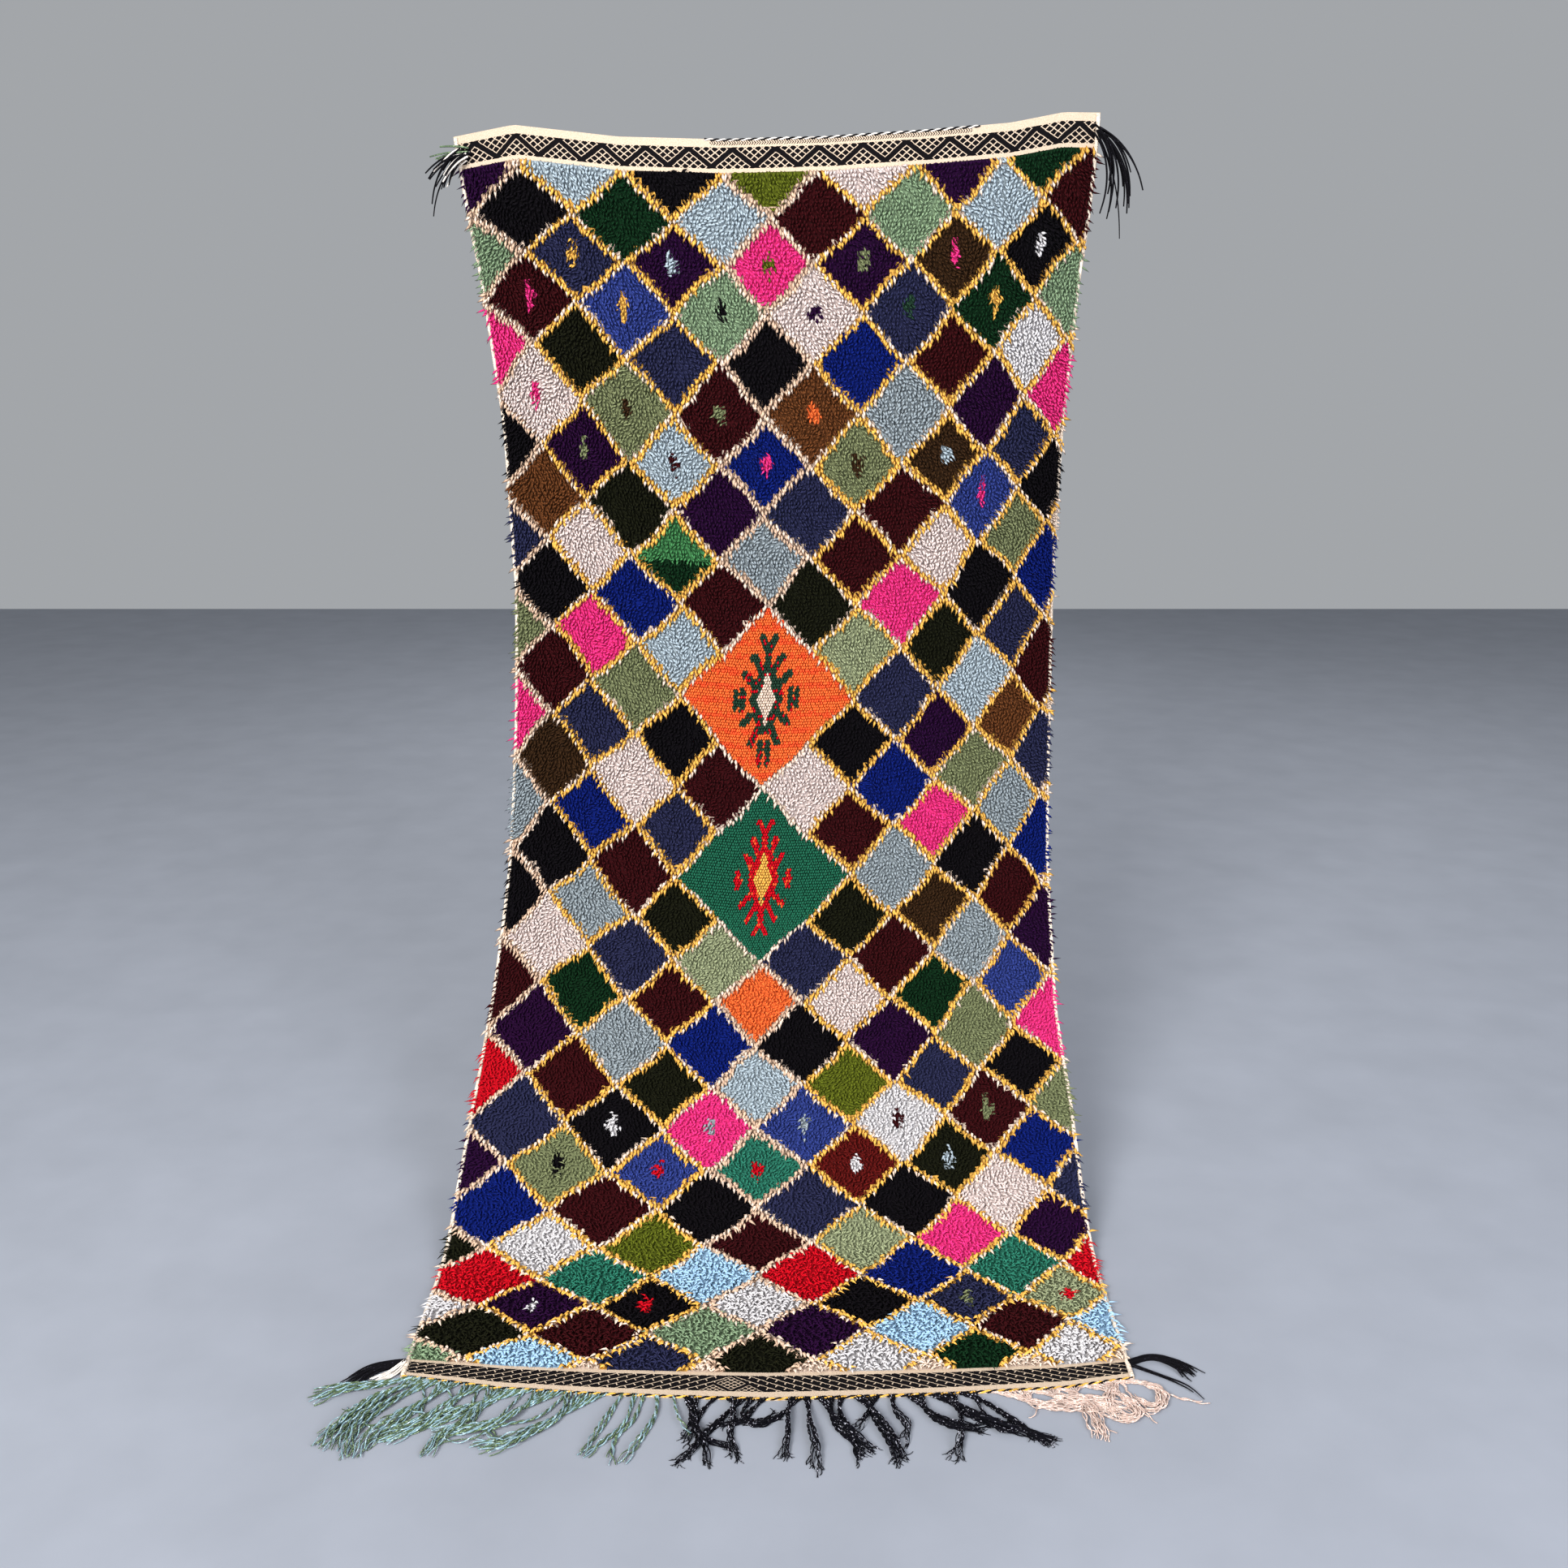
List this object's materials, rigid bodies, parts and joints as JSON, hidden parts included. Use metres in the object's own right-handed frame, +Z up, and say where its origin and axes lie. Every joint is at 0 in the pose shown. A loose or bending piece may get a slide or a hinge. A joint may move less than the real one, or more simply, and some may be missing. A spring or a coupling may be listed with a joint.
{
  "type": "moroccan pile rug",
  "caption": "Knotted wool rug with a diamond lattice, flat-woven ends, a corded fringe and corner tassels, held up by its top edge with its foot on the floor.",
  "frame": {"origin": "middle of the rug's top edge, on its back face, where it is held up", "axes": "+Z up, -Y the way the pile side faces, +X to the right as seen from the pile side"},
  "size_m": [1.4964, 1.3816, 2.1057],
  "materials": {
    "pile_wool": "knotted wool pile, matt",
    "sage_yarn": "twisted wool cord, matt",
    "indigo_yarn": "twisted wool cord, matt",
    "cream_yarn": "soft cotton yarn, matt",
    "tassel_wool": "loose wool yarn, matt"
  },
  "bodies": {
    "root": {"rug": "pile_wool", "fringe_sage": "sage_yarn", "fringe_indigo": "indigo_yarn", "fringe_cream": "cream_yarn", "tassel_top_left": "tassel_wool", "tassel_top_right": "tassel_wool", "tassel_bottom_left": "tassel_wool", "tassel_bottom_right": "tassel_wool"}
  },
  "joints": []
}
